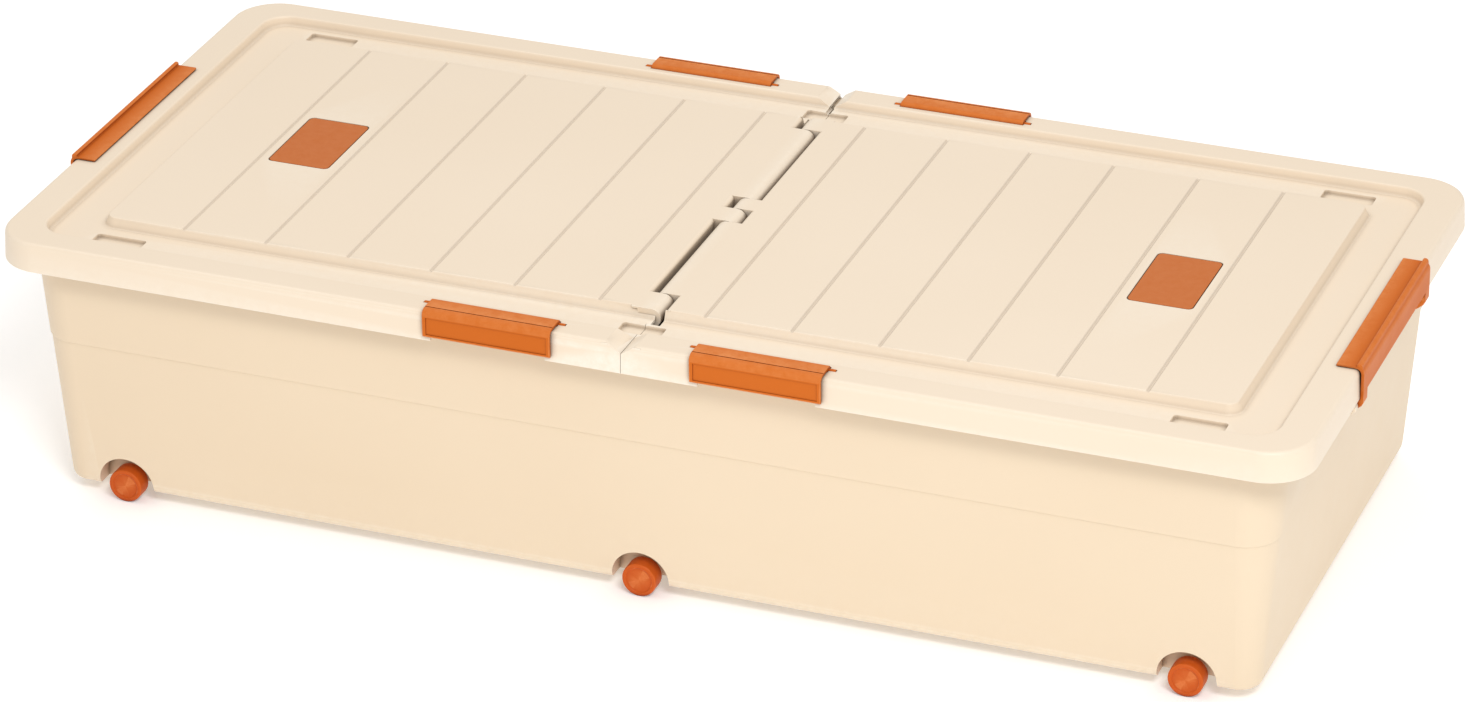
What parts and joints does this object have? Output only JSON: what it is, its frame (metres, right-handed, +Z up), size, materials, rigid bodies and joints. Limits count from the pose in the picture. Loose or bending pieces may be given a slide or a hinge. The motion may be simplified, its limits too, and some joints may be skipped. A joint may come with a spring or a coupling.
{
  "type": "under bed storage box",
  "caption": "Low wheeled storage box with a lid in two halves that fold up about a pin across the middle, held by clip latches on all sides.",
  "frame": {"origin": "on the ground under the middle of the box", "axes": "+X along the length towards the right end, +Y towards the back, +Z up"},
  "size_m": [0.954, 0.44, 0.2112],
  "materials": {
    "tub": "satin cream moulded plastic",
    "lid": "satin cream moulded plastic",
    "latch": "satin orange brown moulded plastic",
    "inlay": "matt orange brown plastic, plain",
    "wheel": "satin orange brown moulded plastic",
    "steel": "drawn wire, bright"
  },
  "bodies": {
    "tub": {"tub": "tub", "axle_front_left": "steel", "axle_front_middle": "steel", "axle_front_right": "steel", "axle_back_left": "steel", "axle_back_middle": "steel", "axle_back_right": "steel"},
    "hinge": {"hinge_pin": "steel"},
    "lid_left": {"lid_left": "lid", "insert_left": "inlay"},
    "lid_right": {"lid_right": "lid", "insert_right": "inlay"},
    "latch_front_left": {"latch_front_left": "latch"},
    "latch_front_right": {"latch_front_right": "latch"},
    "latch_back_left": {"latch_back_left": "latch"},
    "latch_back_right": {"latch_back_right": "latch"},
    "latch_end_left": {"latch_end_left": "latch"},
    "latch_end_right": {"latch_end_right": "latch"},
    "wheel_front_left": {"wheel_front_left": "wheel"},
    "wheel_front_middle": {"wheel_front_middle": "wheel"},
    "wheel_front_right": {"wheel_front_right": "wheel"},
    "wheel_back_left": {"wheel_back_left": "wheel"},
    "wheel_back_middle": {"wheel_back_middle": "wheel"},
    "wheel_back_right": {"wheel_back_right": "wheel"}
  },
  "joints": [
    {"name": "lid_lift", "type": "slide", "parent": "tub", "child": "hinge", "axis": [0, 0, 1], "range_m": [0, 0.24]},
    {"name": "lid_left_hinge", "type": "hinge", "parent": "hinge", "child": "lid_left", "pos_m": [0, 0, 0.2], "axis": [0, 1, 0], "range_deg": [0, 90]},
    {"name": "lid_right_hinge", "type": "hinge", "parent": "hinge", "child": "lid_right", "pos_m": [0, 0, 0.2], "axis": [0, 1, 0], "range_deg": [-90, 0]},
    {"name": "latch_front_left_pivot", "type": "hinge", "parent": "lid_left", "child": "latch_front_left", "pos_m": [-0.097, -0.203, 0.206], "axis": [-1, 0, 0], "range_deg": [0, 100]},
    {"name": "latch_front_right_pivot", "type": "hinge", "parent": "lid_right", "child": "latch_front_right", "pos_m": [0.097, -0.203, 0.206], "axis": [-1, 0, 0], "range_deg": [0, 100]},
    {"name": "latch_back_left_pivot", "type": "hinge", "parent": "lid_left", "child": "latch_back_left", "pos_m": [-0.097, 0.203, 0.206], "axis": [1, 0, 0], "range_deg": [0, 100]},
    {"name": "latch_back_right_pivot", "type": "hinge", "parent": "lid_right", "child": "latch_back_right", "pos_m": [0.097, 0.203, 0.206], "axis": [1, 0, 0], "range_deg": [0, 100]},
    {"name": "latch_end_left_pivot", "type": "hinge", "parent": "tub", "child": "latch_end_left", "pos_m": [-0.47, 0, 0.18], "axis": [0, -1, 0], "range_deg": [0, 110]},
    {"name": "latch_end_right_pivot", "type": "hinge", "parent": "tub", "child": "latch_end_right", "pos_m": [0.47, 0, 0.18], "axis": [0, 1, 0], "range_deg": [0, 110]},
    {"name": "wheel_front_left_spin", "type": "hinge", "parent": "tub", "child": "wheel_front_left", "pos_m": [-0.392, -0.1864, 0.0125], "axis": [0, 1, 0], "continuous": true},
    {"name": "wheel_front_middle_spin", "type": "hinge", "parent": "tub", "child": "wheel_front_middle", "pos_m": [0, -0.1864, 0.0125], "axis": [0, 1, 0], "continuous": true},
    {"name": "wheel_front_right_spin", "type": "hinge", "parent": "tub", "child": "wheel_front_right", "pos_m": [0.392, -0.1864, 0.0125], "axis": [0, 1, 0], "continuous": true},
    {"name": "wheel_back_left_spin", "type": "hinge", "parent": "tub", "child": "wheel_back_left", "pos_m": [-0.392, 0.1864, 0.0125], "axis": [0, 1, 0], "continuous": true},
    {"name": "wheel_back_middle_spin", "type": "hinge", "parent": "tub", "child": "wheel_back_middle", "pos_m": [0, 0.1864, 0.0125], "axis": [0, 1, 0], "continuous": true},
    {"name": "wheel_back_right_spin", "type": "hinge", "parent": "tub", "child": "wheel_back_right", "pos_m": [0.392, 0.1864, 0.0125], "axis": [0, 1, 0], "continuous": true}
  ]
}
